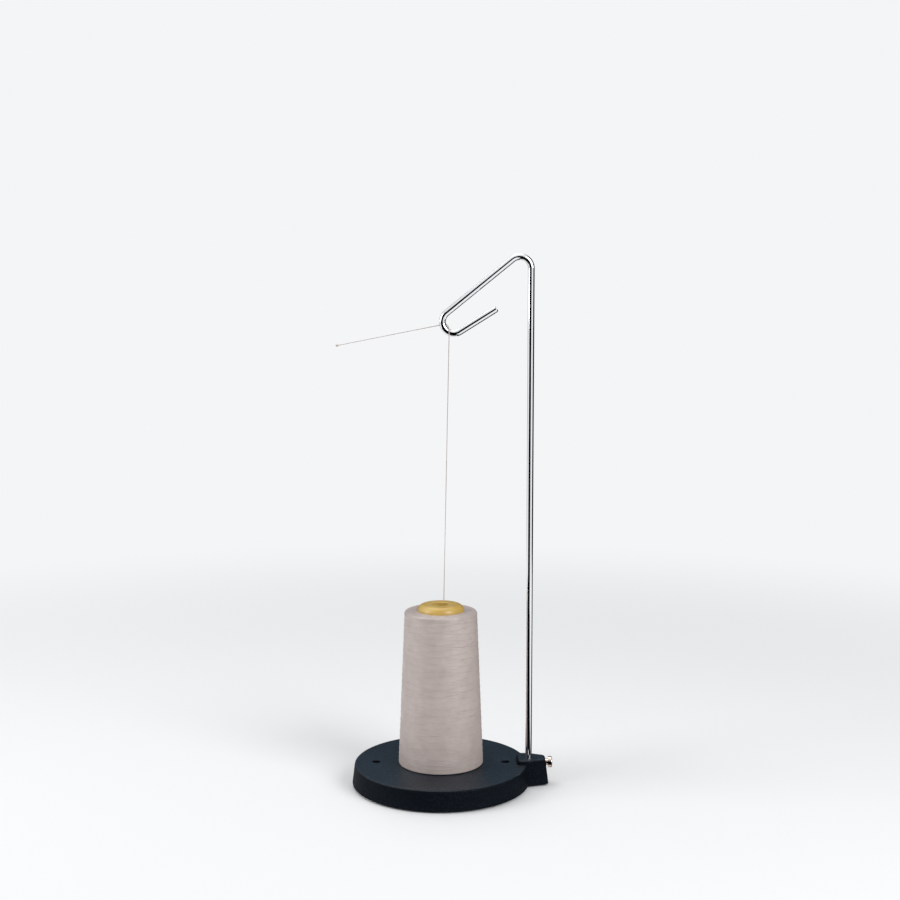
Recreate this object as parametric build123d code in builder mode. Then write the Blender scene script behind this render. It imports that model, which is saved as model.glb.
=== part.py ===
"""A weighted stand for one cone of sewing thread.

A cast disc carries the cone on an upright pin. A bent wire guide stands in a lug on the disc's edge and holds its
open eye over the cone. The thread runs up from the winding, over the wire of the eye and off to the left.

Millimetres. The origin is the middle of the underside, where the stand meets the table. +Z is up, the lug points
along +X, and the wire guide lies in the plane Y = 0.
"""

import os
from math import cos, pi, radians, sin, sqrt, tan

from build123d import *

# Overrun of every cut past the face that it leaves by
overrun = 2.0

# Base casting: a disc with draft on its side, and a lug on its edge that narrows to a blunt nose
disc_radius = 55.5
disc_height = 12.4
disc_draft_angle = 7.0
disc_top_edge = 1.2
disc_foot_edge = 0.6
rod_inset = 0.5
lug_half_width = 10.4
lug_nose_half_width = 6.2
lug_outward_reach = 12.3
lug_inward_reach = 8.9
lug_rise = 3.1
lug_draft_angle = 7.0
lug_top_edge = 1.5
lug_root_edge = 0.8
lug_inner_corner = 2.4
lug_flank_bend = 6.0
lug_nose_corner = 3.0
screw_down_inset = 15.0
screw_down_radius = 2.5
hole_edge = 0.4

# Base pad: a soft disc glued into a shallow recess under the casting
pad_rim = 5.5
pad_thickness = 2.0
pad_stand_off = 1.0
pad_edge_clearance = 0.25

# Guide rod: one wire, bent twice in the plane Y = 0, standing just inside the disc's edge
wire_diameter = 4.0
rod_rise = 307.4
rod_socket_depth = 12.0
rod_end_clearance = 0.2
rod_fit_clearance = 0.06
wire_end_edge = 0.6
bend_radius = 7.0
arm_turn = 129.0
arm_length = 51.35
eye_turn = 173.0
leg_length = 26.4

# Clamp screw: slotted cheese head, pointing at the rod from the nose of the lug
screw_diameter = 4.0
screw_length = 10.0
screw_head_diameter = 7.0
screw_head_height = 2.6
screw_slot_width = 1.2
screw_slot_depth = 1.1
screw_slot_angle = 35.0
screw_below_lug_top = 3.3
screw_fit_clearance = 0.05
screw_tip_clearance = 0.05
screw_head_edge = 0.5
screw_point_edge = 0.6

# Spool pin: turned pin with a hexagon collar, screwed into the middle of the disc
pin_diameter = 5.0
pin_height = 60.0
pin_root_depth = 8.0
pin_root_clearance = 0.02
pin_top_edge = 1.8
collar_across_flats = 8.0
collar_height = 3.0
collar_edge = 0.4

# Cone holder: a hub, a skirted plate and fins, turning on the pin inside the thread tube
holder_height = 46.0
holder_bore_clearance = 0.1
holder_seat_clearance = 0.2
holder_tube_clearance = 0.4
holder_floor_clearance = 0.4
holder_hub_wall = 2.0
holder_hub_rise = 3.0
holder_plate_thickness = 1.6
holder_skirt_wall = 1.4
fin_count = 6
fin_thickness = 1.6
fin_lead_in = 6.0
fin_lead_in_depth = 4.5

# Thread tube: a hollow moulded cone whose nose turns in to a lipped hole
tube_height = 100.5
tube_foot_radius = 21.8
tube_half_angle = 4.33
tube_wall = 1.3
tube_roof = 1.8
nose_edge = 4.0
nose_inner_edge = 2.4
nose_hole_radius = 5.2
nose_lip_depth = 4.0
nose_lip_wall = 1.0
nose_lip_edge = 0.4
tube_seat_clearance = 0.2

# Winding: a plain core of thread, with its outermost layer as one unbroken strand
winding_foot_depth = 4.7
winding_top_depth = 8.0
winding_nose_margin = 4.1
winding_foot_edge = 0.5
winding_top_edge = 1.5
winding_lift = 0.3
winding_tube_clearance = 0.02
thread_diameter = 0.5
layer_turns = 23
layer_clearance = 0.05
layer_foot_margin = 3.0
layer_top_margin = 1.4
layer_end_angle = 78.5

# Strand: up from the winding, over the wire of the eye, and away to the left
strand_split_rise = 188.6
strand_joint_drop = 2.4
strand_wire_clearance = 0.25
strand_over_clearance = 0.62
strand_over_angle = 232.0
strand_off_angle = 195.0
strand_wrap_radius = 2.1
strand_foot_radius = 1.6
strand_foot_run = 2.4
lead_length = 68.8
lead_fall_angle = 11.2
knot_diameter = 1.6
knot_length = 2.0
knot_edge = 0.5

# Levels and places that follow from the sizes above
casting_foot = pad_stand_off
disc_top = casting_foot + disc_height
disc_top_radius = disc_radius - disc_height * tan(radians(disc_draft_angle))
screw_down_spacing = 2 * (disc_radius - screw_down_inset)
pad_radius = disc_radius - pad_rim
rod_offset = disc_radius - rod_inset
lug_top = disc_top + lug_rise
lug_inset = (disc_height + lug_rise) * tan(radians(lug_draft_angle))
wire_radius = wire_diameter / 2
thread_radius = thread_diameter / 2
pin_radius = pin_diameter / 2
screw_radius = screw_diameter / 2
socket_floor = lug_top - rod_socket_depth
rod_foot = socket_floor + rod_end_clearance
screw_height = lug_top - screw_below_lug_top
screw_tip = rod_offset + wire_radius + screw_tip_clearance
screw_neck_end = screw_tip + screw_length
screw_head_end = screw_neck_end + screw_head_height
collar_top = disc_top + collar_height
tube_foot = disc_top + tube_seat_clearance
tube_top = tube_foot + tube_height
winding_foot = disc_top + winding_lift
winding_top = tube_top - winding_nose_margin
winding_height = winding_top - winding_foot

# Middle of the eye's bend, reached along the wire from the top of the upright
arm_heading = radians(90 + arm_turn)
shoulder_x = rod_offset - bend_radius + bend_radius * cos(radians(arm_turn))
shoulder_z = disc_top + rod_rise + bend_radius * sin(radians(arm_turn))
eye_x = shoulder_x + arm_length * cos(arm_heading) - bend_radius * sin(arm_heading)
eye_z = shoulder_z + arm_length * sin(arm_heading) + bend_radius * cos(arm_heading)


def tube_radius(height):
    """Outer radius of the thread tube at a height."""
    return tube_foot_radius - (height - tube_foot) * tan(radians(tube_half_angle))


def bore_radius(height):
    """Radius that the thread tube leaves free for the holder at a height."""
    return tube_radius(height) - tube_wall - holder_tube_clearance


# Radii of the winding, from the depth of thread on the tube
winding_foot_radius = tube_radius(winding_foot) + winding_foot_depth
winding_top_radius = tube_radius(winding_top) + winding_top_depth


def winding_radius(height):
    """Radius of the winding core's straight side at a height."""
    share = (height - winding_foot) / winding_height
    return winding_foot_radius + (winding_top_radius - winding_foot_radius) * share


def corner(sketch, x, y):
    """The corner of a profile that lies nearest to a place in its own plane."""
    return sketch.vertices().sort_by_distance((x, y, 0))[0]


# Base casting: the disc is turned, the lug stands through it at full depth
with BuildPart() as base_casting:
    with BuildSketch(Plane.XZ) as disc_profile:
        recess_radius = pad_radius + pad_edge_clearance
        with BuildLine():
            Polyline(
                (0, pad_thickness),
                (recess_radius, pad_thickness),
                (recess_radius, casting_foot),
                (disc_radius, casting_foot),
                (disc_top_radius, disc_top),
                (0, disc_top),
                close=True,
            )
        make_face()
        fillet(corner(disc_profile, disc_top_radius, disc_top), disc_top_edge)
        fillet(corner(disc_profile, disc_radius, casting_foot), disc_foot_edge)
    revolve(axis=Axis.Z)
    for level, inset in ((casting_foot, 0), (lug_top, lug_inset)):
        side = lug_half_width - inset
        nose_side = lug_nose_half_width - inset
        inner_end = rod_offset - lug_inward_reach + inset
        nose_end = rod_offset + lug_outward_reach - inset
        with BuildSketch(Plane.XY.offset(level)) as lug_outline:
            with BuildLine():
                Polyline(
                    (inner_end, -side),
                    (rod_offset, -side),
                    (nose_end, -nose_side),
                    (nose_end, nose_side),
                    (rod_offset, side),
                    (inner_end, side),
                    close=True,
                )
            make_face()
            fillet(lug_outline.vertices().group_by(Axis.X)[-1], lug_nose_corner)
            fillet(lug_outline.vertices().group_by(Axis.X)[1], lug_flank_bend)
            fillet(lug_outline.vertices().group_by(Axis.X)[0], lug_inner_corner)
    loft(ruled=True)
    disc_face = base_casting.faces().filter_by(Axis.Z).sort_by(Axis.Z)[-2]
    fillet(disc_face.edges().filter_by_position(Axis.X, rod_offset - lug_inward_reach, rod_offset), lug_root_edge)
    with BuildSketch(Plane.XY.offset(casting_foot)):
        Circle(recess_radius)
    extrude(amount=pad_thickness - casting_foot, mode=Mode.SUBTRACT)
    fillet(base_casting.faces().sort_by(Axis.Z)[-1].edges(), lug_top_edge)
    with BuildSketch(Plane.XY.offset(lug_top)):
        with Locations((rod_offset, 0)):
            Circle(wire_radius + rod_fit_clearance)
    extrude(amount=-rod_socket_depth, mode=Mode.SUBTRACT)
    with BuildSketch(Plane.YZ.offset(rod_offset)):
        with Locations((0, screw_height)):
            Circle(screw_radius + screw_fit_clearance)
    extrude(amount=lug_outward_reach + overrun, mode=Mode.SUBTRACT)
    with BuildSketch(Plane.XY.offset(disc_top)):
        Circle(pin_radius + pin_root_clearance)
    extrude(amount=-pin_root_depth, mode=Mode.SUBTRACT)
    with BuildSketch(Plane.XY):
        with GridLocations(screw_down_spacing, 0, 2, 1):
            Circle(screw_down_radius)
    extrude(amount=disc_top + overrun, mode=Mode.SUBTRACT)
    rims = base_casting.edges().filter_by(GeomType.CIRCLE)
    screw_down_rims = rims.filter_by(lambda e: abs(e.radius - screw_down_radius) < hole_edge / 4)
    chamfer(screw_down_rims.group_by(Axis.Z)[-1], hole_edge)

# Base pad
with BuildPart() as base_pad:
    with BuildSketch():
        Circle(pad_radius)
        with GridLocations(screw_down_spacing, 0, 2, 1):
            Circle(screw_down_radius, mode=Mode.SUBTRACT)
    extrude(amount=pad_thickness)

# Guide rod: the upright, the shoulder bend, the slanting arm, the eye's bend and the short leg
with BuildPart() as guide_rod:
    with BuildLine(Plane.XZ) as wire_path:
        upright = Line((rod_offset, rod_foot), (rod_offset, disc_top + rod_rise))
        shoulder = JernArc(upright @ 1, upright % 1, bend_radius, arm_turn)
        arm = Line(shoulder @ 1, shoulder @ 1 + (shoulder % 1) * arm_length)
        eye_bend = JernArc(arm @ 1, arm % 1, bend_radius, eye_turn)
        Line(eye_bend @ 1, eye_bend @ 1 + (eye_bend % 1) * leg_length)
    with BuildSketch(Plane.XY.offset(rod_foot)):
        with Locations((rod_offset, 0)):
            Circle(wire_radius)
    sweep(path=wire_path.wire())
    wire_ends = guide_rod.faces().filter_by(GeomType.PLANE).sort_by(Axis.Z)
    chamfer(wire_ends[0].edges() + wire_ends[-1].edges(), wire_end_edge)

# Clamp screw
with BuildPart() as clamp_screw:
    with BuildSketch(Plane.YZ.offset(screw_tip)):
        with Locations((0, screw_height)):
            Circle(screw_radius)
    extrude(amount=screw_length)
    with BuildSketch(Plane.YZ.offset(screw_neck_end)):
        with Locations((0, screw_height)):
            Circle(screw_head_diameter / 2)
    extrude(amount=screw_head_height)
    chamfer(clamp_screw.faces().sort_by(Axis.X)[0].edges(), screw_point_edge)
    fillet(clamp_screw.faces().sort_by(Axis.X)[-1].edges(), screw_head_edge)
    with BuildSketch(Plane.YZ.offset(screw_head_end)):
        with Locations((0, screw_height)):
            Rectangle(screw_head_diameter + overrun, screw_slot_width, rotation=screw_slot_angle)
    extrude(amount=-screw_slot_depth, mode=Mode.SUBTRACT)

# Spool pin
with BuildPart() as spool_pin:
    with BuildSketch(Plane.XY.offset(disc_top - pin_root_depth)):
        Circle(pin_radius)
    extrude(amount=pin_root_depth + pin_height)
    fillet(spool_pin.faces().sort_by(Axis.Z)[-1].edges(), pin_top_edge)
    with BuildSketch(Plane.XY.offset(disc_top)):
        RegularPolygon(collar_across_flats / 2, 6, major_radius=False)
    extrude(amount=collar_height)
    collar_face = spool_pin.faces().filter_by(Axis.Z).filter_by_position(Axis.Z, collar_top, collar_top)[0]
    chamfer(collar_face.outer_wire().edges(), collar_edge)

# Cone holder: the turned part, then the fins
plate_foot = collar_top + holder_seat_clearance
plate_top = plate_foot + holder_plate_thickness
skirt_foot = disc_top + holder_floor_clearance
hub_bore = pin_radius + holder_bore_clearance
hub_radius = hub_bore + holder_hub_wall
fin_top = disc_top + holder_height

with BuildPart() as holder_fin:
    with BuildSketch(Plane.XZ):
        with BuildLine():
            Polyline(
                (hub_bore + holder_hub_wall / 2, plate_foot + holder_plate_thickness / 2),
                (bore_radius(plate_top), plate_foot + holder_plate_thickness / 2),
                (bore_radius(plate_top), plate_top),
                (bore_radius(fin_top - fin_lead_in), fin_top - fin_lead_in),
                (bore_radius(fin_top) - fin_lead_in_depth, fin_top),
                (hub_bore + holder_hub_wall / 2, fin_top),
                close=True,
            )
        make_face()
    extrude(amount=fin_thickness / 2, both=True)

with BuildPart() as cone_holder:
    with BuildSketch(Plane.XZ):
        with BuildLine():
            Polyline(
                (hub_bore, plate_foot),
                (bore_radius(skirt_foot) - holder_skirt_wall, plate_foot),
                (bore_radius(skirt_foot) - holder_skirt_wall, skirt_foot),
                (bore_radius(skirt_foot), skirt_foot),
                (bore_radius(plate_top), plate_top),
                (hub_radius, plate_top),
                (hub_radius, fin_top + holder_hub_rise),
                (hub_bore, fin_top + holder_hub_rise),
                close=True,
            )
        make_face()
    revolve(axis=Axis.Z)
    with PolarLocations(0, fin_count):
        add(holder_fin.part)

# Thread tube
with BuildPart() as thread_tube:
    with BuildSketch(Plane.XZ) as tube_profile:
        lip_radius = nose_hole_radius + nose_lip_wall
        roof_height = tube_top - tube_roof
        lip_foot = tube_top - nose_lip_depth
        with BuildLine():
            Polyline(
                (tube_radius(tube_foot), tube_foot),
                (tube_radius(tube_top), tube_top),
                (nose_hole_radius, tube_top),
                (nose_hole_radius, lip_foot),
                (lip_radius, lip_foot),
                (lip_radius, roof_height),
                (tube_radius(roof_height) - tube_wall, roof_height),
                (tube_radius(tube_foot) - tube_wall, tube_foot),
                close=True,
            )
        make_face()
        fillet(corner(tube_profile, tube_radius(tube_top), tube_top), nose_edge)
        fillet(corner(tube_profile, nose_hole_radius, tube_top), nose_lip_edge)
        fillet(corner(tube_profile, tube_radius(roof_height) - tube_wall, roof_height), nose_inner_edge)
    revolve(axis=Axis.Z)

# Winding core
with BuildPart() as winding_core:
    with BuildSketch(Plane.XZ) as core_profile:
        with BuildLine():
            Polyline(
                (tube_radius(winding_foot) + winding_tube_clearance, winding_foot),
                (winding_foot_radius, winding_foot),
                (winding_top_radius, winding_top),
                (tube_radius(winding_top) + winding_tube_clearance, winding_top),
                close=True,
            )
        make_face()
        fillet(corner(core_profile, winding_foot_radius, winding_foot), winding_foot_edge)
        fillet(corner(core_profile, winding_top_radius, winding_top), winding_top_edge)
    revolve(axis=Axis.Z)

# Outermost layer of the winding: one strand that climbs the core in half turns, each a pair of tangent arcs
layer_foot = winding_foot + layer_foot_margin
layer_climb = winding_height - layer_foot_margin - layer_top_margin
half_turns = 2 * layer_turns


def layer_station(step):
    """Place and direction of the strand after a number of half turns."""
    angle = radians(layer_end_angle) - (half_turns - step) * pi
    height = layer_foot + layer_climb * step / half_turns
    radius = winding_radius(height) + layer_clearance + thread_radius
    widening = (winding_top_radius - winding_foot_radius) / winding_height * layer_climb / layer_turns
    place = Vector(radius * cos(angle), radius * sin(angle), height)
    outward = Vector(cos(angle), sin(angle), 0) * widening
    around = Vector(-sin(angle), cos(angle), 0) * (2 * pi * radius)
    upward = Vector(0, 0, layer_climb / layer_turns)
    return place, (outward + around + upward).normalized()


def biarc_middle(start, start_way, end, end_way):
    """Where two equal tangent arcs meet between two places with given directions."""
    chord = end - start
    both = start_way + end_way
    spread = 2 * (1 - start_way.dot(end_way))
    reach = (sqrt(chord.dot(both) ** 2 + spread * chord.dot(chord)) - chord.dot(both)) / spread
    return (start + start_way * reach + end - end_way * reach) / 2


with BuildPart() as winding_layer:
    with BuildLine() as layer_path:
        place, way = layer_station(0)
        Line(place - way * thread_diameter, place)
        for step in range(half_turns):
            next_place, next_way = layer_station(step + 1)
            middle = biarc_middle(place, way, next_place, next_way)
            first_arc = TangentArc(place, middle, tangent=way)
            TangentArc(middle, next_place, tangent=first_arc % 1)
            place, way = next_place, next_way
        layer_last = Line(place, place + way * thread_diameter)
    with BuildSketch(Plane(layer_path.wire() @ 0, z_dir=layer_path.wire() % 0)):
        Circle(thread_radius)
    sweep(path=layer_path.wire())

# The strand's route: a foot that carries on from the layer, the rise, the bend over the wire, and the lead
strand_over_side = wire_radius + strand_over_clearance + thread_radius
strand_off_side = wire_radius + strand_wire_clearance + thread_radius
strand_inset = bend_radius - wire_radius - thread_radius - strand_wire_clearance / 2
strand_start = layer_last @ 1
strand_foot = strand_start + (layer_last % 1) * strand_foot_run
strand_over = Vector(
    eye_x + strand_inset * cos(radians(strand_over_angle)),
    -strand_over_side,
    eye_z + strand_inset * sin(radians(strand_over_angle)),
)
strand_off = Vector(
    eye_x + strand_inset * cos(radians(strand_off_angle)),
    strand_off_side,
    eye_z + strand_inset * sin(radians(strand_off_angle)),
)
strand_end = strand_off - Vector(cos(radians(lead_fall_angle)), 0, sin(radians(lead_fall_angle))) * lead_length


def on_rise(height):
    """The point of the strand's rise at a height."""
    share = (height - strand_foot.Z) / (strand_over.Z - strand_foot.Z)
    return strand_foot + (strand_over - strand_foot) * share


split_point = on_rise(disc_top + strand_split_rise)
joint_point = on_rise(eye_z - bend_radius - wire_radius - strand_joint_drop)


def tube_along(path):
    """Sweeps the thread's round section along the path in the part that is being made."""
    with BuildSketch(Plane(path @ 0, z_dir=path % 0)) as section:
        Circle(thread_radius)
    sweep(section.sketch, path=path)


with BuildPart() as strand_lower:
    with BuildLine() as lower_path:
        FilletPolyline(strand_start, strand_foot, split_point, radius=[strand_foot_radius])
    tube_along(lower_path.wire())

with BuildPart() as strand_upper:
    with BuildLine() as upper_path:
        Line(split_point, joint_point)
    tube_along(upper_path.wire())

with BuildPart() as strand_lead:
    with BuildLine() as lead_path:
        lead_radii = [strand_wrap_radius, strand_wrap_radius]
        FilletPolyline(joint_point, strand_over, strand_off, strand_end, radius=lead_radii)
    tube_along(lead_path.wire())
    with BuildSketch(Plane(strand_end, z_dir=lead_path.wire() % 1)):
        Circle(knot_diameter / 2)
    extrude(amount=-knot_length)
    fillet(strand_lead.edges().group_by(Axis.X)[0], knot_edge)

# Every piece goes to its own file
pieces = {
    "base_casting": base_casting,
    "base_pad": base_pad,
    "guide_rod": guide_rod,
    "clamp_screw": clamp_screw,
    "spool_pin": spool_pin,
    "cone_holder": cone_holder,
    "thread_tube": thread_tube,
    "winding_core": winding_core,
    "winding_layer": winding_layer,
    "strand_lower": strand_lower,
    "strand_upper": strand_upper,
    "strand_lead": strand_lead,
}

os.makedirs("parts", exist_ok=True)
for name, piece in pieces.items():
    piece.part.label = name
    export_step(piece.part, f"parts/{name}.step")

# What the strand measures
section = pi * thread_radius**2
for name, path, radii in (
    ("strand_lower", lower_path.wire(), [strand_foot_radius]),
    ("strand_upper", upper_path.wire(), []),
    ("strand_lead", lead_path.wire(), lead_radii),
    ("winding_layer", layer_path.wire(), []),
):
    print(name, "length", round(path.length, 2), "bend radii", radii)
    print(name, "volume", round(pieces[name].part.volume, 3), "section times length", round(section * path.length, 3))

layer_wire = layer_path.wire()
samples_per_turn = 24
sample_count = samples_per_turn * layer_turns
samples = [layer_wire.position_at(i / sample_count) for i in range(sample_count + 1)]
nearest = min(
    (a - b).length
    for i, a in enumerate(samples)
    for b in samples[i + samples_per_turn // 2 : i + 2 * samples_per_turn]
)
print("winding_layer least gap to itself", round(nearest - thread_diameter, 2))
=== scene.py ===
"""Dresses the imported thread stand: finishes, running thread, wound cone and foam pad, on a pale studio floor.

Everything is in metres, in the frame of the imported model. Sizes that a maker gives in millimetres carry mm.
"""

import math

import bpy
import numpy as np
from bpy.props import FloatProperty, FloatVectorProperty, IntProperty, PointerProperty
from mathutils import Matrix, Vector


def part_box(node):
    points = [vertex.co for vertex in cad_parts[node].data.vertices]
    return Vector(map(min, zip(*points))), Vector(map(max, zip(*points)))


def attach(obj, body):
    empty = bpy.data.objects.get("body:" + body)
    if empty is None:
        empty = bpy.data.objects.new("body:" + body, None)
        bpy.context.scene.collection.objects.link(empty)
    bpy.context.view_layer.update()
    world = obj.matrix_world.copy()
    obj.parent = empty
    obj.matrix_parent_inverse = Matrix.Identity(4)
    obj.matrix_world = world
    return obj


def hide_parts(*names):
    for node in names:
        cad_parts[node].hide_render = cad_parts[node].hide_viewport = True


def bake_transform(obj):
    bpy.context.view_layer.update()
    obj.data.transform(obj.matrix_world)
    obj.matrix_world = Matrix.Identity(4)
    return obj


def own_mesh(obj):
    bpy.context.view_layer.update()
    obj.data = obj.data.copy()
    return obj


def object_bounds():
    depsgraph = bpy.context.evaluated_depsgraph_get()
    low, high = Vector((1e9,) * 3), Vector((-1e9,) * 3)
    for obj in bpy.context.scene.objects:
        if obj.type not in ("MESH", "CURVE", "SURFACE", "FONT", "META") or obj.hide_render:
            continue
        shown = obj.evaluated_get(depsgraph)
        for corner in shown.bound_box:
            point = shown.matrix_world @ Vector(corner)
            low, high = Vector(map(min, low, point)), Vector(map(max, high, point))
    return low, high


bl_info = {
    "name": "Thread Stand",
    "version": (1, 0, 0),
    "blender": (4, 5, 0),
    "location": "View3D > Sidebar > Thread Stand",
    "description": "Finishes for a weighted stand that carries one cone of sewing thread",
    "category": "Object",
}

mm = 0.001
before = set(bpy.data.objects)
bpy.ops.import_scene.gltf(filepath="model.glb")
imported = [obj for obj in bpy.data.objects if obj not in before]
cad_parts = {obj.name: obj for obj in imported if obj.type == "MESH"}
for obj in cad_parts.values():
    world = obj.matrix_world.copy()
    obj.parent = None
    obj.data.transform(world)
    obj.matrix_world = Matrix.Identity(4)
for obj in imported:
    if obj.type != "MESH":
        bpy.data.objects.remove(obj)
cad_low, cad_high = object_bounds()
core_low, core_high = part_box("winding_core")
tube_low, tube_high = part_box("thread_tube")
pad_low, pad_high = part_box("base_pad")


def linear(colour):
    """Turns an sRGB hex colour into the linear red, green and blue that Blender's sockets take."""
    shares = [int(colour[i : i + 2], 16) / 255 for i in (1, 3, 5)]
    return [s / 12.92 if s <= 0.04045 else ((s + 0.055) / 1.055) ** 2.4 for s in shares]


def colour_setting(name, colour):
    """A colour that a user can change."""
    return FloatVectorProperty(
        name=name,
        description=f"Colour of the {name.lower()}",
        subtype="COLOR",
        size=3,
        min=0,
        max=1,
        default=linear(colour),
    )


def length_setting(name, description, default):
    """A length that a user can change."""
    return FloatProperty(
        name=name,
        description=description,
        unit="LENGTH",
        precision=5,
        min=0,
        default=default,
    )


def place_setting(name, description, default):
    """A place that a user can change."""
    return FloatVectorProperty(
        name=name,
        description=description,
        subtype="TRANSLATION",
        size=3,
        default=default,
    )


def power_setting(name, description, default):
    """The power of a lamp, which a user can change."""
    return FloatProperty(name=name, description=description, unit="POWER", min=0, default=default)


# Settings


class StudioSettings(bpy.types.PropertyGroup):
    """Camera, lamps and floor."""

    camera_place: place_setting(
        "Camera place",
        "Where the camera stands",
        (5.715 * mm, -850 * mm, 299.657 * mm),
    )
    camera_dip: FloatProperty(
        name="Camera dip",
        description="How far the camera looks down",
        subtype="ANGLE",
        default=math.radians(6.0087),
    )
    lens: FloatProperty(name="Lens", description="Focal length on a 36 mm sensor", default=55.715)
    floor_radius: length_setting("Floor radius", "Radius of the studio floor", 6.0)
    fade_start: length_setting("Fade start", "Where the floor begins to fade into the backdrop", 0.25)
    fade_end: length_setting("Fade end", "Where the floor has become the backdrop", 0.9)
    backdrop: colour_setting("Backdrop", "#F4F5F6")
    ambient: FloatProperty(
        name="Ambient",
        description="Strength of the light from all round",
        default=0.4,
        min=0,
    )
    lamp_width: length_setting("Lamp width", "Width of each square lamp", 0.7)
    side_place: place_setting("Side lamp place", "Where the lamp on the left hangs", (-1.05, -0.25, 0.6))
    side_power: power_setting("Side lamp", "Power of the lamp on the left", 6.2)
    front_place: place_setting(
        "Front lamp place",
        "Where the lamp at the right of the camera hangs",
        (0.8, -0.85, 0.75),
    )
    front_power: power_setting("Front lamp", "Power of the lamp at the right of the camera", 10.0)
    top_place: place_setting("Top lamp place", "Where the lamp overhead hangs", (-0.1, 0.35, 1.1))
    top_power: power_setting("Top lamp", "Power of the lamp overhead", 3.4)
    card: colour_setting("Dark cards", "#050505")
    back_card: colour_setting("Card behind", "#2C4F65")


class ThreadSettings(bpy.types.PropertyGroup):
    """The running thread."""

    diameter: length_setting("Diameter", "Thickness of the thread", 0.5 * mm)
    ply_count: IntProperty(
        name="Plies",
        description="How many plies are twisted together",
        default=3,
        min=2,
        max=4,
    )
    ply_pitch: length_setting("Ply pitch", "Length of one twist of the plies", 1.6 * mm)
    knot_diameter: length_setting("Knot diameter", "Width of the knot at the free end", 1.5 * mm)
    colour: colour_setting("Thread", "#C1B4AF")
    shade: colour_setting("Thread in the shade", "#AA9D98")


class WindingSettings(bpy.types.PropertyGroup):
    """The thread wound on the tube."""

    top_radius: length_setting("Top radius", "Radius of the winding below its shoulder", 22.5 * mm)
    foot_edge: length_setting("Foot edge", "Rounding of the winding's foot", 0.5 * mm)
    shoulder: length_setting("Shoulder", "Rounding of the winding's shoulder", 1.5 * mm)
    tube_half_angle: FloatProperty(
        name="Tube half angle",
        description="Half of the tube's taper",
        subtype="ANGLE",
        default=math.radians(4.33),
    )
    tube_clearance: length_setting("Tube clearance", "Gap between winding and tube", 0.02 * mm)
    turn_pitch: length_setting("Turn pitch", "Distance from one turn to the next", 0.56 * mm)
    turn_relief: length_setting("Turn relief", "Height of a turn above the groove beside it", 0.1 * mm)
    wander: length_setting("Wander", "How far a turn strays along the cone", 0.1 * mm)
    unevenness: length_setting("Unevenness", "How far the surface swells and sinks", 0.06 * mm)
    lay_depth: length_setting("Lay depth", "How deep the last thread sinks into the turns below", 0.12 * mm)
    cross_passes: IntProperty(
        name="Cross passes",
        description="How often the last thread travels along the cone, an odd number",
        default=7,
        min=1,
    )
    turns_per_pass: FloatProperty(
        name="Turns per pass",
        description="Turns that the last thread makes on one pass",
        default=6.37,
    )
    end_angle: FloatProperty(
        name="End angle",
        description="Where the thread leaves the winding, round the pin",
        subtype="ANGLE",
        default=math.radians(78.5),
    )


class FinishSettings(bpy.types.PropertyGroup):
    """Colours and grain of the hard pieces."""

    paint: colour_setting("Paint", "#04080F")
    paint_dust_and_sheen: colour_setting("Dust and painted sheen in the paint", "#1F303F")
    # Lighter colour of the casting's level top: dust, and also a painted sheen with painted glints
    sand_grain: length_setting("Sand grain", "Size of the grain that the mould leaves", 1.1 * mm)
    chrome: colour_setting("Chrome", "#EEEFF1")
    nickel: colour_setting("Nickel", "#E3CDC0")
    zinc: colour_setting("Zinc", "#B9BEC2")
    holder: colour_setting("Holder plastic", "#E4E1D6")
    tube: colour_setting("Tube plastic", "#CDAE61")
    tube_deep: colour_setting("Tube plastic in its depth", "#B2842E")
    foam: colour_setting("Foam", "#3A3D40")


class ThreadStandSettings(bpy.types.PropertyGroup):
    """All settings of the stand."""

    studio: PointerProperty(type=StudioSettings)
    thread: PointerProperty(type=ThreadSettings)
    winding: PointerProperty(type=WindingSettings)
    finish: PointerProperty(type=FinishSettings)


# Helpers


def add_node(tree, kind, sockets=None, **settings):
    """Adds a node. settings are its properties, sockets gives each input a value or the output that feeds it."""
    node = tree.nodes.new(kind)
    for name, value in settings.items():
        setattr(node, name, value)
    for name, value in (sockets or {}).items():
        if isinstance(value, bpy.types.NodeSocket):
            tree.links.new(value, node.inputs[name])
        else:
            node.inputs[name].default_value = value
    return node


def opaque(colour):
    """A colour property as the four numbers that a colour socket takes."""
    return (*colour, 1.0)


def start_material(name):
    """An empty material, its node tree and the place on the piece in millimetres."""
    material = bpy.data.materials.new(name)
    material.use_nodes = True
    tree = material.node_tree
    tree.nodes.clear()
    place = add_node(tree, "ShaderNodeTexCoord").outputs["Object"]
    in_mm = add_node(tree, "ShaderNodeVectorMath", {"Vector": place, "Scale": 1 / mm}, operation="SCALE")
    return material, tree, in_mm.outputs["Vector"]


def close_material(tree, shader):
    """Joins the shader to the material's output."""
    add_node(tree, "ShaderNodeOutputMaterial", {"Surface": shader.outputs[0]})


def dress(node_name, material):
    """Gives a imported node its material."""
    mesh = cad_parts[node_name].data
    mesh.materials.clear()
    mesh.materials.append(material)


def make_piece(name, mesh, material, body):
    """Makes a piece from a mesh, with its material and slot. A body of None leaves it unattached."""
    piece = bpy.data.objects.new(name, mesh)
    bpy.context.scene.collection.objects.link(piece)
    mesh.materials.clear()
    mesh.materials.append(material)
    mesh.polygons.foreach_set("use_smooth", [True] * len(mesh.polygons))
    if body:
        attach(piece, body)
    return piece


# Finishes


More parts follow.
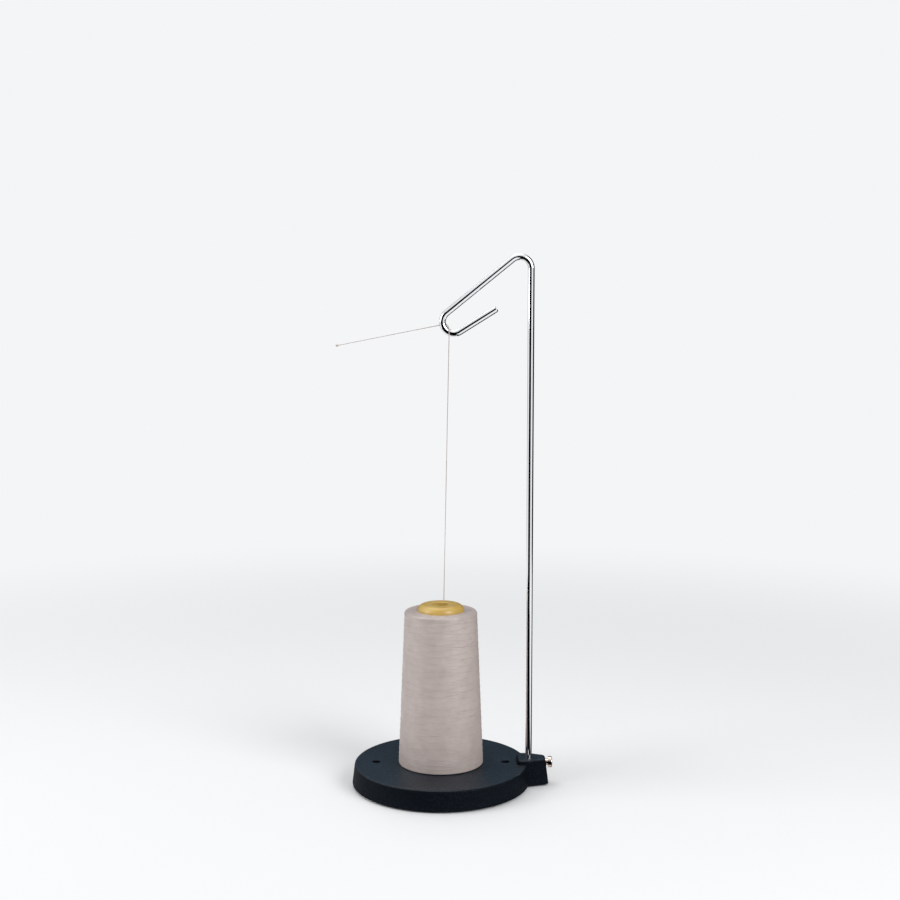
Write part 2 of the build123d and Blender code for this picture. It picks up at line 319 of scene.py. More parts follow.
def spun_polyester(thread):
    """Spun polyester thread, dyed a warm grey and waxed: its turns catch each lamp as a soft upright band."""
    material, tree, place = start_material("spun polyester")
    fibre_width = 0.18  # about ten times a real fibre, which is too fine to show
    patch_width = 7.0
    fibres = add_node(tree, "ShaderNodeTexNoise", {"Vector": place, "Scale": 1 / fibre_width, "Detail": 2.0})
    patches = add_node(tree, "ShaderNodeTexNoise", {"Vector": place, "Scale": 1 / patch_width, "Detail": 2.0})
    tone = add_node(
        tree,
        "ShaderNodeMath",
        {0: fibres.outputs[0], 1: patches.outputs[0]},
        operation="MULTIPLY",
    )
    share = add_node(
        tree,
        "ShaderNodeMapRange",
        {"Value": tone.outputs[0], "From Min": 0.02, "From Max": 0.52},
    )
    colour = add_node(
        tree,
        "ShaderNodeMix",
        {0: share.outputs[0], 6: opaque(thread.shade), 7: opaque(thread.colour)},
        data_type="RGBA",
    )
    bump = add_node(
        tree,
        "ShaderNodeBump",
        {"Height": fibres.outputs[0], "Strength": 0.6, "Distance": 0.05 * mm},
    )
    rough = add_node(tree, "ShaderNodeMapRange", {"Value": fibres.outputs[0], "To Min": 0.34, "To Max": 0.48})
    shader = add_node(
        tree,
        "ShaderNodeBsdfPrincipled",
        {
            "Base Color": colour.outputs[2],
            "Roughness": rough.outputs[0],
            "Normal": bump.outputs[0],
            "Sheen Weight": 0.05,
            "Sheen Roughness": 0.4,
            "Specular IOR Level": 0.7,
        },
    )
    close_material(tree, shader)
    return material


def painted_cast_iron(finish):
    """Grey iron cast in sand, under one coat of blue-black paint.

    The sand leaves it pebbled and matt on the sides. The level top is ground before it is painted, so it is
    smoother. Dust settles there, and its lighter, bluer patches and specks are also a painted sheen with
    painted glints. The grain is drawn about twice too coarse, to show at a distance.
    """
    material, tree, place = start_material("painted cast iron")
    grain = finish.sand_grain / mm
    # Size of the patches of dust and painted sheen on the level top
    dust_and_sheen_patch = 22.0
    sand = add_node(tree, "ShaderNodeTexNoise", {"Vector": place, "Scale": 1 / grain, "Detail": 2.0})
    pits = add_node(
        tree,
        "ShaderNodeTexVoronoi",
        {"Vector": place, "Scale": 0.6 / grain},
        feature="SMOOTH_F1",
    )
    dust_and_sheen_noise = add_node(tree, "ShaderNodeTexNoise", {"Vector": place, "Scale": 1 / dust_and_sheen_patch, "Detail": 4.0})
    skin = add_node(
        tree,
        "ShaderNodeMath",
        {0: sand.outputs[0], 1: pits.outputs["Distance"]},
        operation="ADD",
    )
    bump = add_node(
        tree,
        "ShaderNodeBump",
        {"Height": skin.outputs[0], "Strength": 0.7, "Distance": 0.22 * mm},
    )
    facing = add_node(
        tree,
        "ShaderNodeSeparateXYZ",
        {0: add_node(tree, "ShaderNodeNewGeometry").outputs["True Normal"]},
    )
    level = add_node(
        tree,
        "ShaderNodeMapRange",
        {"Value": facing.outputs["Z"], "From Min": 0.5, "From Max": 1.0},
    )
    # Light specks on the sand grain: specks of dust, and also painted glints of light
    specks_and_glints = add_node(
        tree,
        "ShaderNodeMapRange",
        {"Value": sand.outputs[0], "From Min": 0.42, "From Max": 0.62},
    )
    # Level tops take more of the lighter colour: settled dust, and also a painted sheen where light falls
    dust_and_sheen_on_top = add_node(tree, "ShaderNodeMapRange", {"Value": level.outputs[0], "To Min": 0.3, "To Max": 1.4})
    patched = add_node(
        tree,
        "ShaderNodeMath",
        {0: dust_and_sheen_on_top.outputs[0], 1: dust_and_sheen_noise.outputs[0]},
        operation="MULTIPLY",
    )
    share = add_node(
        tree,
        "ShaderNodeMath",
        {0: specks_and_glints.outputs[0], 1: patched.outputs[0]},
        operation="MULTIPLY",
    )
    # Paints dust, a painted sheen and painted glints into the paint's colour on level tops
    colour = add_node(
        tree,
        "ShaderNodeMix",
        {0: share.outputs[0], 6: opaque(finish.paint), 7: opaque(finish.paint_dust_and_sheen)},
        data_type="RGBA",
    )
    rough = add_node(tree, "ShaderNodeMapRange", {"Value": level.outputs[0], "To Min": 0.7, "To Max": 0.47})
    gloss = add_node(tree, "ShaderNodeMapRange", {"Value": level.outputs[0], "To Min": 0.08, "To Max": 0.45})
    shader = add_node(
        tree,
        "ShaderNodeBsdfPrincipled",
        {
            "Base Color": colour.outputs[2],
            "Roughness": rough.outputs[0],
            "Normal": bump.outputs[0],
            "Specular IOR Level": gloss.outputs[0],
        },
    )
    close_material(tree, shader)
    return material


def foam_rubber(finish):
    """Closed-cell foam rubber, die-cut from sheet: matt and dark, with fine cut cells."""
    material, tree, place = start_material("foam rubber")
    cell = 0.7  # about twice a real cell, to show at a distance
    cells = add_node(tree, "ShaderNodeTexVoronoi", {"Vector": place, "Scale": 1 / cell})
    bump = add_node(
        tree,
        "ShaderNodeBump",
        {"Height": cells.outputs["Distance"], "Strength": 0.8, "Distance": 0.15 * mm},
    )
    tone = add_node(
        tree,
        "ShaderNodeMapRange",
        {"Value": cells.outputs["Distance"], "To Min": 0.8, "To Max": 1.25},
    )
    colour = add_node(
        tree,
        "ShaderNodeVectorMath",
        {0: finish.foam, "Scale": tone.outputs[0]},
        operation="SCALE",
    )
    rough = add_node(
        tree,
        "ShaderNodeMapRange",
        {"Value": cells.outputs["Distance"], "To Min": 0.85, "To Max": 0.98},
    )
    shader = add_node(
        tree,
        "ShaderNodeBsdfPrincipled",
        {
            "Base Color": colour.outputs[0],
            "Roughness": rough.outputs[0],
            "Normal": bump.outputs[0],
            "IOR": 1.52,
        },
    )
    close_material(tree, shader)
    return material


def chromed_wire(finish):
    """Drawn steel wire, chrome plated: a mirror with faint draw marks along the wire."""
    material, tree, place = start_material("chromed wire")
    mark_width = 0.25  # several times a real draw mark, which is too fine to show
    mark_length = 14.0
    long_marks = add_node(
        tree,
        "ShaderNodeVectorMath",
        {0: place, 1: (1 / mark_width, 1 / mark_width, 1 / mark_length)},
        operation="MULTIPLY",
    )
    marks = add_node(
        tree,
        "ShaderNodeTexNoise",
        {"Vector": long_marks.outputs[0], "Scale": 1.0, "Detail": 2.0},
    )
    bump = add_node(
        tree,
        "ShaderNodeBump",
        {"Height": marks.outputs[0], "Strength": 0.25, "Distance": 0.01 * mm},
    )
    rough = add_node(tree, "ShaderNodeMapRange", {"Value": marks.outputs[0], "To Min": 0.03, "To Max": 0.1})
    shader = add_node(
        tree,
        "ShaderNodeBsdfPrincipled",
        {
            "Base Color": opaque(finish.chrome),
            "Metallic": 1.0,
            "Roughness": rough.outputs[0],
            "Normal": bump.outputs[0],
        },
    )
    close_material(tree, shader)
    return material


def nickel_plate(finish, axis_height):
    """Turned brass screw, nickel plated: bright and warm, with tool rings round its axis."""
    material, tree, place = start_material("nickel plate")
    ring_width = 0.22  # about twice the tool's real feed, to show at a distance
    from_axis = add_node(
        tree,
        "ShaderNodeVectorMath",
        {0: place, 1: (0, 0, axis_height / mm)},
        operation="SUBTRACT",
    )
    across = add_node(
        tree,
        "ShaderNodeVectorMath",
        {0: from_axis.outputs[0], 1: (0, 1, 1)},
        operation="MULTIPLY",
    )
    radius = add_node(tree, "ShaderNodeVectorMath", {0: across.outputs[0]}, operation="LENGTH")
    phase = add_node(
        tree,
        "ShaderNodeMath",
        {0: radius.outputs["Value"], 1: math.tau / ring_width},
        operation="MULTIPLY",
    )
    rings = add_node(tree, "ShaderNodeMath", {0: phase.outputs[0]}, operation="SINE")
    bump = add_node(
        tree,
        "ShaderNodeBump",
        {"Height": rings.outputs[0], "Strength": 0.3, "Distance": 0.01 * mm},
    )
    rough = add_node(
        tree,
        "ShaderNodeMapRange",
        {"Value": rings.outputs[0], "From Min": -1.0, "To Min": 0.1, "To Max": 0.18},
    )
    shader = add_node(
        tree,
        "ShaderNodeBsdfPrincipled",
        {
            "Base Color": opaque(finish.nickel),
            "Metallic": 1.0,
            "Roughness": rough.outputs[0],
            "Normal": bump.outputs[0],
        },
    )
    close_material(tree, shader)
    return material


def turned_zinc(finish):
    """Free-cutting steel, turned and zinc plated: a grey metal with rings from the tool along its length."""
    material, tree, place = start_material("zinc plated steel")
    ring_width = 0.35  # about three times the tool's real feed, to show at a distance
    height = add_node(tree, "ShaderNodeSeparateXYZ", {0: place})
    phase = add_node(
        tree,
        "ShaderNodeMath",
        {0: height.outputs["Z"], 1: math.tau / ring_width},
        operation="MULTIPLY",
    )
    rings = add_node(tree, "ShaderNodeMath", {0: phase.outputs[0]}, operation="SINE")
    bump = add_node(
        tree,
        "ShaderNodeBump",
        {"Height": rings.outputs[0], "Strength": 0.3, "Distance": 0.015 * mm},
    )
    rough = add_node(
        tree,
        "ShaderNodeMapRange",
        {"Value": rings.outputs[0], "From Min": -1.0, "To Min": 0.25, "To Max": 0.4},
    )
    shader = add_node(
        tree,
        "ShaderNodeBsdfPrincipled",
        {
            "Base Color": opaque(finish.zinc),
            "Metallic": 1.0,
            "Roughness": rough.outputs[0],
            "Normal": bump.outputs[0],
        },
    )
    close_material(tree, shader)
    return material


def moulded_abs(finish):
    """ABS plastic from a spark-eroded mould: satin, off-white and faintly grained."""
    material, tree, place = start_material("moulded ABS")
    spark = 0.4  # several times a real spark pit, which is too fine to show
    grain = add_node(tree, "ShaderNodeTexNoise", {"Vector": place, "Scale": 1 / spark, "Detail": 2.0})
    bump = add_node(
        tree,
        "ShaderNodeBump",
        {"Height": grain.outputs[0], "Strength": 0.35, "Distance": 0.02 * mm},
    )
    rough = add_node(tree, "ShaderNodeMapRange", {"Value": grain.outputs[0], "To Min": 0.4, "To Max": 0.55})
    shader = add_node(
        tree,
        "ShaderNodeBsdfPrincipled",
        {
            "Base Color": opaque(finish.holder),
            "Roughness": rough.outputs[0],
            "Normal": bump.outputs[0],
            "IOR": 1.54,
        },
    )
    close_material(tree, shader)
    return material


def moulded_polypropylene(finish):
    """Yellow polypropylene, injection moulded: glossy, a little cloudy, and deeper where it flowed last."""
    material, tree, place = start_material("moulded polypropylene")
    flow_width = 9.0
    ripple_width = 1.6
    flow = add_node(tree, "ShaderNodeTexNoise", {"Vector": place, "Scale": 1 / flow_width, "Detail": 3.0})
    ripple = add_node(tree, "ShaderNodeTexNoise", {"Vector": place, "Scale": 1 / ripple_width, "Detail": 1.0})
    share = add_node(
        tree,
        "ShaderNodeMapRange",
        {"Value": flow.outputs[0], "From Min": 0.35, "From Max": 0.8, "To Max": 0.6},
    )
    colour = add_node(
        tree,
        "ShaderNodeMix",
        {0: share.outputs[0], 6: opaque(finish.tube), 7: opaque(finish.tube_deep)},
        data_type="RGBA",
    )
    bump = add_node(
        tree,
        "ShaderNodeBump",
        {"Height": ripple.outputs[0], "Strength": 0.25, "Distance": 0.04 * mm},
    )
    rough = add_node(tree, "ShaderNodeMapRange", {"Value": ripple.outputs[0], "To Min": 0.24, "To Max": 0.38})
    shader = add_node(
        tree,
        "ShaderNodeBsdfPrincipled",
        {
            "Base Color": colour.outputs[2],
            "Roughness": rough.outputs[0],
            "Normal": bump.outputs[0],
            "IOR": 1.49,
            "Subsurface Weight": 0.15,
            "Subsurface Radius": (1.2, 0.7, 0.2),
            "Subsurface Scale": 1.0 * mm,
        },
    )
    close_material(tree, shader)
    return material


# Thread


def spline_points(route, fineness):
    """Points along a smooth NURBS spline with the route's points as its control points."""
    curve = bpy.data.curves.new("route", "CURVE")
    curve.dimensions = "3D"
    spline = curve.splines.new("NURBS")
    spline.points.add(len(route) - 1)
    for point, place in zip(spline.points, route, strict=True):
        point.co = (*place, 1.0)
    spline.order_u = 3
    spline.use_endpoint_u = True
    spline.resolution_u = fineness
    carrier = bpy.data.objects.new("route", curve)
    bpy.context.scene.collection.objects.link(carrier)
    bpy.context.view_layer.update()
    mesh = bpy.data.meshes.new_from_object(carrier)
    line = np.array([v.co for v in mesh.vertices])
    bpy.data.objects.remove(carrier)
    bpy.data.meshes.remove(mesh)
    bpy.data.curves.remove(curve)
    return line


def tube_mesh(name, line, radii, plies=1, twist=0.0):
    """A closed tube along a line. More than one ply gives it as many lobes, which turn once in each twist."""
    sides = 6 if plies == 1 else 4 * plies
    lobe_height = 0.2
    off_line = (0.3, 0.5, 0.8)  # a direction that no line here starts along
    ahead = np.gradient(line, axis=0)
    ahead /= np.linalg.norm(ahead, axis=1)[:, None]
    travelled = np.concatenate([[0], np.cumsum(np.linalg.norm(np.diff(line, axis=0), axis=1))])
    side = np.cross(ahead[0], off_line)
    vertices = []
    for place, way, radius, distance in zip(line, ahead, radii, travelled, strict=True):
        side = side - way * side.dot(way)
        side /= np.linalg.norm(side)
        other = np.cross(way, side)
        turned = math.tau * distance / twist if plies > 1 else 0.0
        for k in range(sides):
            angle = math.tau * k / sides
            lobe = lobe_height * (abs(math.cos(plies * angle / 2)) - 0.5) if plies > 1 else 0.0
            out = math.cos(angle + turned) * side + math.sin(angle + turned) * other
            vertices.append(place + radius * (1 + lobe) * out)
    rings = len(line)
    faces = [
        (i * sides + k, i * sides + (k + 1) % sides, (i + 1) * sides + (k + 1) % sides, (i + 1) * sides + k)
        for i in range(rings - 1)
        for k in range(sides)
    ]
    faces.append(tuple(range(sides))[::-1])
    faces.append(tuple(range((rings - 1) * sides, rings * sides)))
    mesh = bpy.data.meshes.new(name)
    mesh.from_pydata([tuple(v) for v in vertices], [], faces)
    mesh.update()
    return mesh


# The running thread's route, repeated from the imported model's own
thread_start = Vector((4.067, 22.499, 108.614)) * mm
thread_foot = Vector((1.716, 22.975, 108.681)) * mm
thread_split = Vector((3.586, 9.284, 202.0)) * mm
thread_joint = Vector((5.091, -1.732, 277.084)) * mm
thread_over = Vector((5.246, -2.87, 284.84)) * mm
thread_off = Vector((3.626, 2.5, 287.287)) * mm
thread_end = Vector((-63.864, 2.5, 273.924)) * mm
near_corner = 2.4 * mm
near_wire = 3.0 * mm


def towards(start, end, distance):
    """The point at a distance from start on the way to end."""
    return start + (end - start).normalized() * distance


def rounding(middle, radius, start, end, count):
    """Points along the arc of a rounded edge."""
    sweep = np.linspace(start, end, count)
    return [(middle[0] + radius * math.cos(a), middle[1] + radius * math.sin(a)) for a in sweep]


def profile_of_winding(winding):
    """Distance, radius and height along the winding's skin, whose two ends lie inside the tube's wall."""
    spacing = 0.1 * mm
    foot_points, top_points = 30, 40
    slope = math.tan(winding.tube_half_angle)
    foot_in = tube_high.x - (core_low.z - tube_low.z) * slope + winding.tube_clearance
    top_in = tube_high.x - (core_high.z - tube_low.z) * slope + winding.tube_clearance
    foot_out, top_out = core_high.x, winding.top_radius
    lean = math.atan2(foot_out - top_out, core_high.z - core_low.z)
    quarter = math.pi / 2
    foot_middle = (
        foot_out - winding.foot_edge * (1 / math.cos(lean) + math.tan(lean)),
        core_low.z + winding.foot_edge,
    )
    top_middle = (
        top_out - winding.shoulder * (1 / math.cos(lean) - math.tan(lean)),
        core_high.z - winding.shoulder,
    )
    corners = [(foot_in - winding.turn_pitch, core_low.z)]
    corners += rounding(foot_middle, winding.foot_edge, -quarter, lean, foot_points)
    corners += rounding(top_middle, winding.shoulder, lean, quarter, top_points)
    corners.append((top_in - 2 * winding.turn_pitch, core_high.z))
    corners = np.array(corners)
    travelled = np.concatenate([[0], np.cumsum(np.linalg.norm(np.diff(corners, axis=0), axis=1))])
    even = np.arange(0, travelled[-1], spacing)
    return even, np.interp(even, travelled, corners[:, 0]), np.interp(even, travelled, corners[:, 1])


def wound_skin(winding):
    """The winding's outer turns as one strand, laid turn against turn from its foot over its shoulder."""
    around = 96
    ridge = np.array([0.0, 0.72, 1.0, 0.72])
    across = len(ridge)
    still_end = 4 * mm
    stray_wave, stray_beat, stray_phase = 0.37, 0.113, 1.0
    swell_wave, swell_beat, swell_phase = 0.21, 0.047, 0.5
    travelled, radius, height = profile_of_winding(winding)
    turns = int(travelled[-1] / winding.turn_pitch) - 1
    step = np.arange(turns * around + 1)
    angle = math.tau * step / around
    turn = step / around
    stray = np.sin(angle + turn * stray_wave) * np.sin(turn * stray_beat + stray_phase)
    # The surface swells and sinks, and never rises above the wound shape
    swell = (np.sin(turn * swell_wave) * np.sin(turn * swell_beat + swell_phase) - 1.5) / 2
    level = (turn[:, None] + np.arange(across) / across) * winding.turn_pitch
    ends = np.clip(np.minimum(level, travelled[-1] - level) / still_end, 0, 1)
    level = level + winding.wander * stray[:, None] * ends
    r = np.interp(level, travelled, radius)
    z = np.interp(level, travelled, height)
    out_r = np.gradient(height, travelled)
    out_z = -np.gradient(radius, travelled)
    lift = winding.turn_relief * (ridge - 1) + winding.unevenness * swell[:, None] * ends
    r = r + np.interp(level, travelled, out_r) * lift
    z = z + np.interp(level, travelled, out_z) * lift
    vertices = np.stack([r * np.cos(angle)[:, None], r * np.sin(angle)[:, None], z], axis=-1).reshape(-1, 3)
    faces = []
    for i in range(len(step) - 1):
        here, ahead = i * across, (i + 1) * across
        faces += [(here + k, ahead + k, ahead + k + 1, here + k + 1) for k in range(across - 1)]
        above = (i + around) * across
        if i + around + 1 < len(step):
            faces.append((here + across - 1, ahead + across - 1, above + across, above))
    mesh = bpy.data.meshes.new("thread_winding")
    mesh.from_pydata(vertices.tolist(), [], faces)
    mesh.update()
    return mesh


def cross_lay_line(winding):
    """The last thread laid on: it climbs and falls along the cone, and ends where the running thread begins."""
    around = 72
    sharpness = 0.985  # how sharply it turns back at each end
    foot_margin = 3 * mm
    ramp_turns = 1 / 6
    turns = winding.cross_passes * winding.turns_per_pass
    share = np.linspace(0, 1, int(turns * around) + 1)
    wave = np.sin(math.pi * (winding.cross_passes * share - 0.5))
    swing = np.arcsin(sharpness * wave) / math.asin(sharpness)
    low, high = core_low.z + foot_margin, thread_start.z
    z = low + (high - low) * (swing + 1) / 2
    angle = winding.end_angle - math.tau * turns * (1 - share)
    side = core_high.x + (winding.top_radius - core_high.x) * (z - core_low.z) / (core_high.z - core_low.z)
    end_lift = math.hypot(thread_start.x, thread_start.y) - side[-1]
    rise = np.clip((share - 1) * turns / ramp_turns + 1, 0, 1)
    r = side + rise * rise * (3 - 2 * rise) * end_lift - (1 - rise) * winding.lay_depth
    return np.stack([r * np.cos(angle), r * np.sin(angle), z], axis=-1)


# Operators

# Cards round the object, each by its middle and by half of each side
dark_cards = {
    "front card": ((-0.163, -0.365, 0.28), (0.285, -0.127, 0), (0, 0, 0.28)),
    "right card": ((0.6, 0.2, 0.55), (-0.27, 0.52, 0), (0, 0, 0.55)),
    "front floor card": ((-0.24, -0.405, 0.002), (0.315, 0, 0), (0, 0.345, 0)),
    "right floor card": ((0.438, 0.365, 0.002), (0.363, 0, 0), (0, 0.385, 0)),
    "screw card": ((0.075, -0.081, 0.0385), (0.02, 0, 0), (0, -0.069, 0.0365)),
}
back_card = ((0, 0.75, 0.42), (0.7, 0, 0), (0, 0, 0.42))
floor_above_foot = 0.02 * mm


class THREAD_STAND_OT_studio(bpy.types.Operator):
    """Sets up the camera, the lamps, the pale backdrop and the floor"""

    bl_idname = "thread_stand.studio"
    bl_label = "Studio"

    def execute(self, context):
        studio = context.scene.thread_stand.studio
        scene = context.scene
        scene.view_settings.view_transform = "Standard"
        camera = bpy.data.objects.new("camera", bpy.data.cameras.new("camera"))
        scene.collection.objects.link(camera)
        camera.data.sensor_width = 36.0
        camera.data.lens = studio.lens
        camera.location = studio.camera_place
        camera.rotation_euler = (math.pi / 2 - studio.camera_dip, 0, 0)
        scene.camera = camera
        self.lamp(scene, "side lamp", studio.side_power, studio.side_place, studio.lamp_width)
        self.lamp(scene, "front lamp", studio.front_power, studio.front_place, studio.lamp_width)
        self.lamp(scene, "top lamp", studio.top_power, studio.top_place, studio.lamp_width)
        for name, sides in dark_cards.items():
            self.card(scene, name, studio.card, *sides)
        self.card(scene, "back card", studio.back_card, *back_card)
        self.backdrop(scene, studio)
        self.floor(scene, studio)
        return {"FINISHED"}

    def lamp(self, scene, name, power, place, width):
        """A square soft lamp that faces the middle of the object."""
        light = bpy.data.lights.new(name, "AREA")
        light.energy = power
        light.size = width
        lamp = bpy.data.objects.new(name, light)
        scene.collection.objects.link(lamp)
        lamp.location = place
        middle = (cad_low + cad_high) / 2
        lamp.rotation_euler = (middle - Vector(place)).to_track_quat("-Z", "Y").to_euler()

    def card(self, scene, name, colour, middle, across, along):
        """A flat card by its middle and half its sides. Only shiny pieces show it, as bands that shape them."""
        material, tree, _ = start_material(name)
        close_material(tree, add_node(tree, "ShaderNodeBsdfDiffuse", {"Color": opaque(colour)}))
        middle, across, along = Vector(middle), Vector(across), Vector(along)
        mesh = bpy.data.meshes.new(name)
        corners = (
            middle - across - along,
            middle + across - along,
            middle + across + along,
            middle - across + along,
        )
        mesh.from_pydata([tuple(corner) for corner in corners], [], [(0, 1, 2, 3)])
        mesh.materials.append(material)
        card = bpy.data.objects.new(name, mesh)
        scene.collection.objects.link(card)
        card.visible_camera = card.visible_diffuse = card.visible_transmission = card.visible_shadow = False

    def seen_directly(self, tree):
        """1 for rays that show a surface to the camera, in a mirror or through glass, and 0 for the rest."""
        path = add_node(tree, "ShaderNodeLightPath").outputs
        either = add_node(
            tree,
            "ShaderNodeMath",
            {0: path["Is Camera Ray"], 1: path["Is Glossy Ray"]},
            operation="MAXIMUM",
        )
        return add_node(
            tree,
            "ShaderNodeMath",
            {0: either.outputs[0], 1: path["Is Transmission Ray"]},
            operation="MAXIMUM",
        ).outputs[0]

    def backdrop(self, scene, studio):
        """The backdrop's colour where the world is seen, and a weaker light of that colour elsewhere."""
        world = bpy.data.worlds.new("backdrop")
        world.use_nodes = True
        tree = world.node_tree
        tree.nodes.clear()
        strength = add_node(
            tree,
            "ShaderNodeMapRange",
            {"Value": self.seen_directly(tree), "To Min": studio.ambient, "To Max": 1.0},
        )
        light = add_node(
            tree,
            "ShaderNodeBackground",
            {"Color": opaque(studio.backdrop), "Strength": strength.outputs[0]},
        )
        add_node(tree, "ShaderNodeOutputWorld", {"Surface": light.outputs[0]})
        scene.world = world

    def floor(self, scene, studio):
        """A round floor that keeps the object's shadow and fades into the backdrop away from it."""
        material, tree, place = start_material("studio floor")
        radius = add_node(tree, "ShaderNodeVectorMath", {0: place}, operation="LENGTH")
        fade = add_node(
            tree,
            "ShaderNodeMapRange",
            {
                "Value": radius.outputs["Value"],
                "From Min": studio.fade_start / mm,
                "From Max": studio.fade_end / mm,
            },
            interpolation_type="SMOOTHSTEP",
        )
        seen = add_node(
            tree,
            "ShaderNodeMath",
            {0: fade.outputs[0], 1: self.seen_directly(tree)},
            operation="MULTIPLY",
        )
        matt = add_node(tree, "ShaderNodeBsdfDiffuse", {"Color": opaque(studio.backdrop)})
        glow = add_node(tree, "ShaderNodeEmission", {"Color": opaque(studio.backdrop), "Strength": 1.0})
        shader = add_node(
            tree,
            "ShaderNodeMixShader",
            {0: seen.outputs[0], 1: matt.outputs[0], 2: glow.outputs[0]},
        )
        close_material(tree, shader)
        corners = 96
        rim = [math.tau * k / corners for k in range(corners)]
        mesh = bpy.data.meshes.new("studio_floor")
        mesh.from_pydata(
            [(studio.floor_radius * math.cos(a), studio.floor_radius * math.sin(a), 0) for a in rim],
            [],
            [tuple(range(len(rim)))],
        )
        mesh.materials.append(material)
        floor = bpy.data.objects.new("studio_floor", mesh)
        scene.collection.objects.link(floor)
        # A hair above the pad's underside, which so shows from below
        floor.location.z = cad_low.z + floor_above_foot


class THREAD_STAND_OT_running_thread(bpy.types.Operator):
    """Makes the thread that runs up from the winding, over the wire of the eye and away to the left"""

    bl_idname = "thread_stand.running_thread"
    bl_label = "Running thread"

    def execute(self, context):
        thread = context.scene.thread_stand.thread
        material = spun_polyester(thread)
        bend_fineness, swivel_fineness = 90, 120

        lower = self.cord(thread, material, "thread_lower", "root", bend_fineness, [
            thread_start,
            thread_foot,
            towards(thread_foot, thread_split, near_corner),
            thread_split,
        ])
        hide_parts("strand_lower")

        upper = self.cord(thread, material, "thread_upper", None, swivel_fineness, [
            thread_split,
            towards(thread_joint, thread_split, near_wire),
            thread_joint,
        ])
        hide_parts("strand_upper")

        lead = self.cord(thread, material, "thread_lead", "guide", bend_fineness, [
            thread_joint,
            towards(thread_over, thread_joint, near_wire),
            thread_over,
            thread_off,
            towards(thread_off, thread_end, near_wire),
            thread_end,
        ], [self.knot(thread, material)])
        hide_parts("strand_lead")

        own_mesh(lower)
        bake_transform(upper)
        return {"FINISHED"}

    def cord(self, thread, material, name, body, fineness, route, with_pieces=()):
        """One stretch of the thread as a twisted tube along its route's spline."""
        line = spline_points(route, fineness)
        radii = np.full(len(line), thread.diameter / 2)
        mesh = tube_mesh(name, line, radii, thread.ply_count, thread.ply_pitch)
        piece = make_piece(name, mesh, material, body)
        return piece

    def knot(self, thread, material):
        """An overhand knot pulled tight at the thread's free end."""
        reach = (thread.knot_diameter - thread.diameter) / 2
        half_length = 1.1 * reach
        wave = 0.38
        corners = 72
        turn = np.linspace(0, math.tau, corners, endpoint=False)
        ahead = (thread_end - thread_off).normalized()
        side = Vector((0, 1, 0))
        up = ahead.cross(side)
        wide = reach * (1 - wave + wave * np.cos(3 * turn))
        loop = [
            thread_end - ahead * half_length
            + side * float(w * math.cos(2 * t))
            + up * float(w * math.sin(2 * t))
            + ahead * float(half_length * math.sin(3 * t))
            for t, w in zip(turn, wide, strict=True)
        ]
        loop.append(loop[0])
        line = np.array(loop)
        mesh = tube_mesh("thread_knot", line, np.full(len(line), thread.diameter / 2))
        return make_piece("thread_knot", mesh, material, "guide")


class THREAD_STAND_OT_winding(bpy.types.Operator):
    """Makes the wound thread on the tube, with the last thread laid crosswise over it"""

    bl_idname = "thread_stand.winding"
    bl_label = "Winding"

    def execute(self, context):
        settings = context.scene.thread_stand
        material = bpy.data.materials["spun polyester"]
        skin = make_piece("thread_winding", wound_skin(settings.winding), material, "cone")
        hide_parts("winding_core")
        line = cross_lay_line(settings.winding)
        pressed_flat = 0.8
        radii = np.full(len(line), settings.thread.diameter / 2 * pressed_flat)
        laid = make_piece(
            "thread_cross_lay",
            tube_mesh("thread_cross_lay", line, radii),
            material,
            "cone",
        )
        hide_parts("winding_layer")
        return {"FINISHED"}


class THREAD_STAND_OT_base_casting(bpy.types.Operator):
    """Finishes the cast disc and its lug"""

    bl_idname = "thread_stand.base_casting"
    bl_label = "Base casting"

    def execute(self, context):
        dress("base_casting", painted_cast_iron(context.scene.thread_stand.finish))
        return {"FINISHED"}


class THREAD_STAND_OT_base_pad(bpy.types.Operator):
    """Makes the die-cut foam pad under the casting"""

    bl_idname = "thread_stand.base_pad"
    bl_label = "Base pad"

    def execute(self, context):
        hole_radius, hole_reach, edge = 2.5 * mm, 40.5 * mm, 0.35 * mm
        curve = bpy.data.curves.new("pad_outline", "CURVE")
        curve.dimensions = "2D"
        curve.fill_mode = "BOTH"
        curve.bevel_depth = edge
        curve.bevel_resolution = 3
        curve.extrude = (pad_high.z - pad_low.z) / 2 - edge
        curve.resolution_u = 24
        for x, radius in (
            (0, pad_high.x - edge),
            (-hole_reach, hole_radius + edge),
            (hole_reach, hole_radius + edge),
        ):
            self.ring(curve, x, radius)
        outline = bpy.data.objects.new("pad_outline", curve)
        context.scene.collection.objects.link(outline)
        context.view_layer.update()
        mesh = bpy.data.meshes.new_from_object(outline)
        bpy.data.objects.remove(outline)
        mesh.transform(Matrix.Translation((0, 0, (pad_low.z + pad_high.z) / 2)))
        pad = make_piece("foam_pad", mesh, foam_rubber(context.scene.thread_stand.finish), "root")
        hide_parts("base_pad")
        return {"FINISHED"}

    def ring(self, curve, x, radius):
        """Adds a circle to the outline as four Bezier quarters."""
        spline = curve.splines.new("BEZIER")
        spline.bezier_points.add(3)
        spline.use_cyclic_u = True
        pull = radius * 4 / 3 * math.tan(math.pi / 8)
        for k, point in enumerate(spline.bezier_points):
            angle = math.tau * k / 4
            out = Vector((math.cos(angle), math.sin(angle), 0))
            along = Vector((-math.sin(angle), math.cos(angle), 0))
            point.co = Vector((x, 0, 0)) + out * radius
            point.handle_left = point.co - along * pull
            point.handle_right = point.co + along * pull


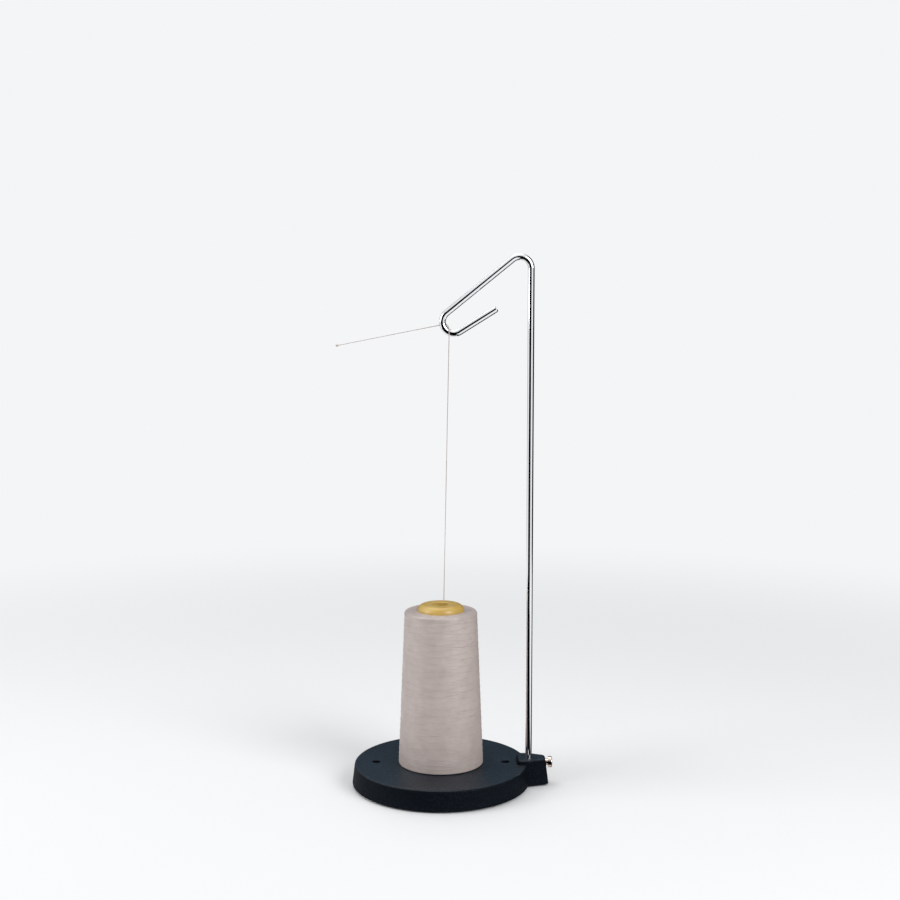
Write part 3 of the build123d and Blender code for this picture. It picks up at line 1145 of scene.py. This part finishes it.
class THREAD_STAND_OT_metal_pieces(bpy.types.Operator):
    """Finishes the guide rod, the clamp screw and the spool pin"""

    bl_idname = "thread_stand.metal_pieces"
    bl_label = "Guide rod, clamp screw and spool pin"

    def execute(self, context):
        finish = context.scene.thread_stand.finish
        screw_low, screw_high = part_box("clamp_screw")
        dress("guide_rod", chromed_wire(finish))
        dress("clamp_screw", nickel_plate(finish, (screw_low.z + screw_high.z) / 2))
        dress("spool_pin", turned_zinc(finish))
        return {"FINISHED"}


class THREAD_STAND_OT_plastic_pieces(bpy.types.Operator):
    """Finishes the cone holder and the thread tube"""

    bl_idname = "thread_stand.plastic_pieces"
    bl_label = "Cone holder and thread tube"

    def execute(self, context):
        finish = context.scene.thread_stand.finish
        dress("cone_holder", moulded_abs(finish))
        dress("thread_tube", moulded_polypropylene(finish))
        return {"FINISHED"}


class THREAD_STAND_PT_panel(bpy.types.Panel):
    """Lists the stand's settings and the steps that make it"""

    bl_label = "Thread Stand"
    bl_space_type = "VIEW_3D"
    bl_region_type = "UI"
    bl_category = "Thread Stand"

    def draw(self, context):
        settings = context.scene.thread_stand
        for step in making_steps:
            self.layout.operator(step.bl_idname)
        for group in (settings.studio, settings.thread, settings.winding, settings.finish):
            box = self.layout.box()
            for name in group.bl_rna.properties.keys():
                if name not in ("rna_type", "name"):
                    box.prop(group, name)


settings_groups = (StudioSettings, ThreadSettings, WindingSettings, FinishSettings, ThreadStandSettings)
making_steps = (
    THREAD_STAND_OT_studio,
    THREAD_STAND_OT_running_thread,
    THREAD_STAND_OT_winding,
    THREAD_STAND_OT_base_casting,
    THREAD_STAND_OT_base_pad,
    THREAD_STAND_OT_metal_pieces,
    THREAD_STAND_OT_plastic_pieces,
)
classes = (*settings_groups, *making_steps, THREAD_STAND_PT_panel)


def register():
    """Registers the settings, the operators and the panel."""
    for each in classes:
        bpy.utils.register_class(each)
    bpy.types.Scene.thread_stand = PointerProperty(type=ThreadStandSettings)


def unregister():
    """Takes them out again."""
    del bpy.types.Scene.thread_stand
    for each in reversed(classes):
        bpy.utils.unregister_class(each)


def main():
    """Runs every step in order."""
    register()
    bpy.ops.thread_stand.studio()
    bpy.ops.thread_stand.running_thread()
    bpy.ops.thread_stand.winding()
    bpy.ops.thread_stand.base_casting()
    bpy.ops.thread_stand.base_pad()
    bpy.ops.thread_stand.metal_pieces()
    bpy.ops.thread_stand.plastic_pieces()


if __name__ == "__main__":
    main()
